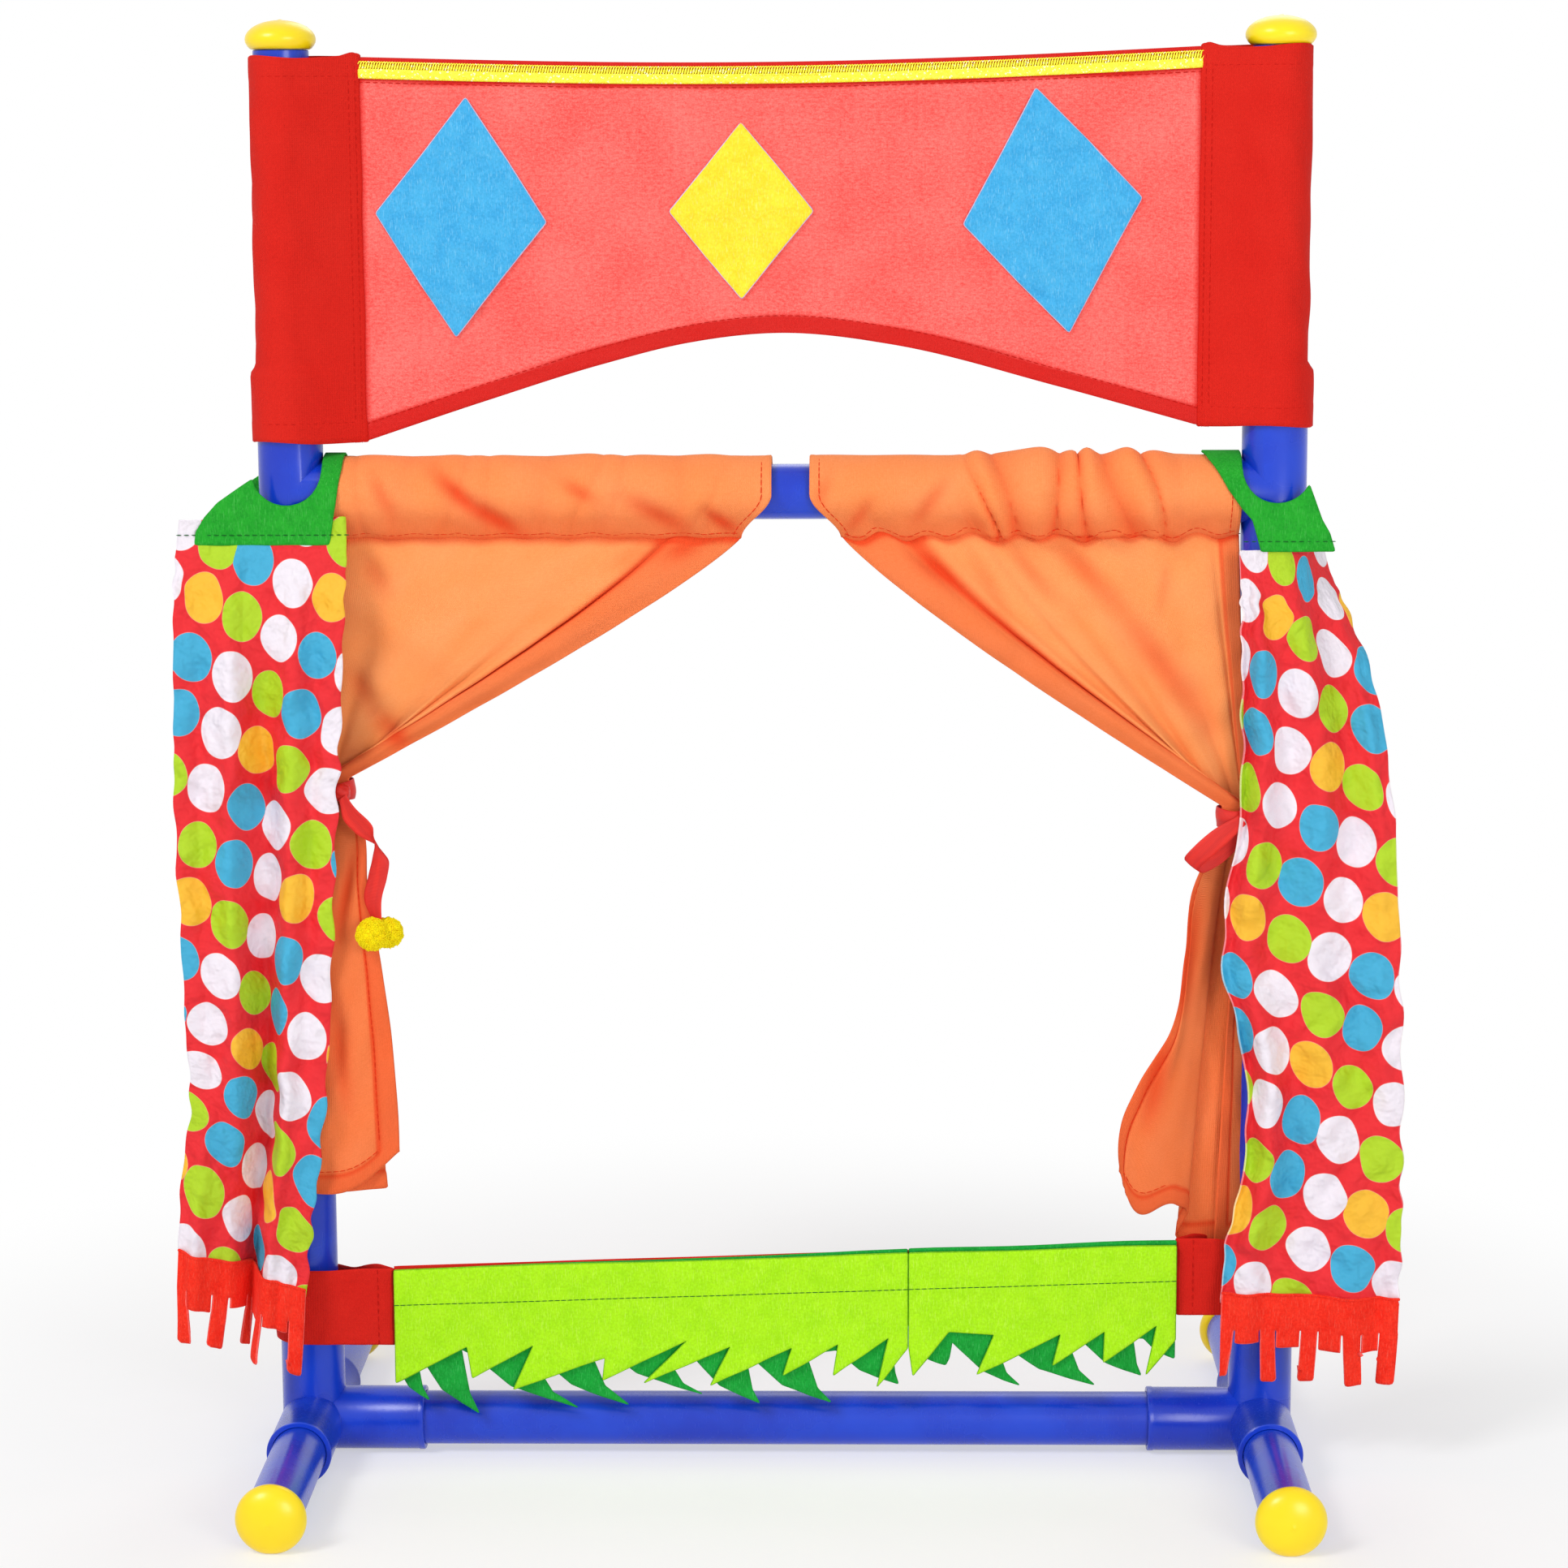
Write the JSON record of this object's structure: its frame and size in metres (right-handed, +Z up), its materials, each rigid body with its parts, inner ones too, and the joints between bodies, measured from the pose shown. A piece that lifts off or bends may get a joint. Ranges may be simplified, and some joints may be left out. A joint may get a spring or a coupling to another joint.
{
  "type": "puppet theater stand",
  "caption": "Tabletop puppet theater stand: push-fit tube frame with a valance, tied-back curtains, dotted side panels with fringe and a felt grass band.",
  "frame": {"origin": "on the floor, below the middle of the frame", "axes": "+X to the right seen from the audience, +Y away from the audience, +Z up along the posts"},
  "size_m": [0.572, 0.2944, 0.6642],
  "materials": {
    "blue_plastic": "gloss",
    "yellow_plastic": "gloss",
    "red_cloth": "knit",
    "gold_braid": "metallic braid",
    "sky_felt": "felt",
    "yellow_felt": "felt",
    "orange_cloth": "knit",
    "green_felt": "felt",
    "lime_felt": "felt",
    "dark_green_felt": "felt",
    "dotted_cloth": "printed plain weave",
    "red_felt": "felt",
    "red_ribbon": "satin",
    "yellow_pompom": "yarn pompom"
  },
  "bodies": {
    "frame": {"base_rail": "blue_plastic", "curtain_rod": "blue_plastic", "left_base_connector": "blue_plastic", "left_tee_connector": "blue_plastic", "left_lower_post": "blue_plastic", "left_upper_post": "blue_plastic", "left_top_cap": "yellow_plastic", "left_front_leg": "blue_plastic", "left_front_foot_cap": "yellow_plastic", "left_rear_leg": "blue_plastic", "left_rear_foot_cap": "yellow_plastic", "right_base_connector": "blue_plastic", "right_tee_connector": "blue_plastic", "right_lower_post": "blue_plastic", "right_upper_post": "blue_plastic", "right_top_cap": "yellow_plastic", "right_front_leg": "blue_plastic", "right_front_foot_cap": "yellow_plastic", "right_rear_leg": "blue_plastic", "right_rear_foot_cap": "yellow_plastic", "valance_panel": "red_cloth", "valance_bottom_hem": "red_cloth", "gold_trim": "gold_braid", "valance_left_sleeve": "red_cloth", "valance_right_sleeve": "red_cloth", "left_diamond": "sky_felt", "centre_diamond": "yellow_felt", "right_diamond": "sky_felt", "left_curtain_drape": "orange_cloth", "right_curtain_drape": "orange_cloth", "left_tie_ribbon": "red_ribbon", "right_tie_ribbon": "red_ribbon", "left_yoke": "green_felt", "right_yoke": "green_felt", "grass_band": "red_cloth", "left_band_loop": "red_cloth", "right_band_loop": "red_cloth", "left_light_grass": "lime_felt", "left_dark_grass": "dark_green_felt", "right_light_grass": "lime_felt", "right_dark_grass": "dark_green_felt"},
    "left_curtain_header": {"left_curtain_pocket": "orange_cloth"},
    "right_curtain_header": {"right_curtain_pocket": "orange_cloth"},
    "left_hanging_panel": {"left_side_panel": "dotted_cloth", "left_fringe": "red_felt"},
    "right_hanging_panel": {"right_side_panel": "dotted_cloth", "right_fringe": "red_felt"},
    "left_tassel": {"left_tie_tail": "red_ribbon", "left_pompom_1": "yellow_pompom", "left_pompom_2": "yellow_pompom"},
    "right_tassel": {"right_tie_tail": "red_ribbon", "right_pompom_1": "yellow_pompom", "right_pompom_2": "yellow_pompom"}
  },
  "joints": [
    {"name": "left_curtain_slide", "type": "slide", "parent": "frame", "child": "left_curtain_header", "axis": [1, 0, 0], "range_m": [0, 0.0085]},
    {"name": "right_curtain_slide", "type": "slide", "parent": "frame", "child": "right_curtain_header", "axis": [-1, 0, 0], "range_m": [0, 0.0085]},
    {"name": "left_panel_swing", "type": "hinge", "parent": "frame", "child": "left_hanging_panel", "pos_m": [-0.23, -0.0177, 0.4303], "axis": [1, 0, 0], "range_deg": [-90, 0]},
    {"name": "right_panel_swing", "type": "hinge", "parent": "frame", "child": "right_hanging_panel", "pos_m": [0.23, -0.0177, 0.4263], "axis": [1, 0, 0], "range_deg": [-90, 0]},
    {"name": "left_tassel_swing", "type": "hinge", "parent": "frame", "child": "left_tassel", "pos_m": [-0.201, -0.0245, 0.318], "axis": [0, 1, 0], "range_deg": [-45, 0]},
    {"name": "right_tassel_swing", "type": "hinge", "parent": "frame", "child": "right_tassel", "pos_m": [0.221, 0.0217, 0.305], "axis": [0, 1, 0], "range_deg": [0, 35]}
  ]
}
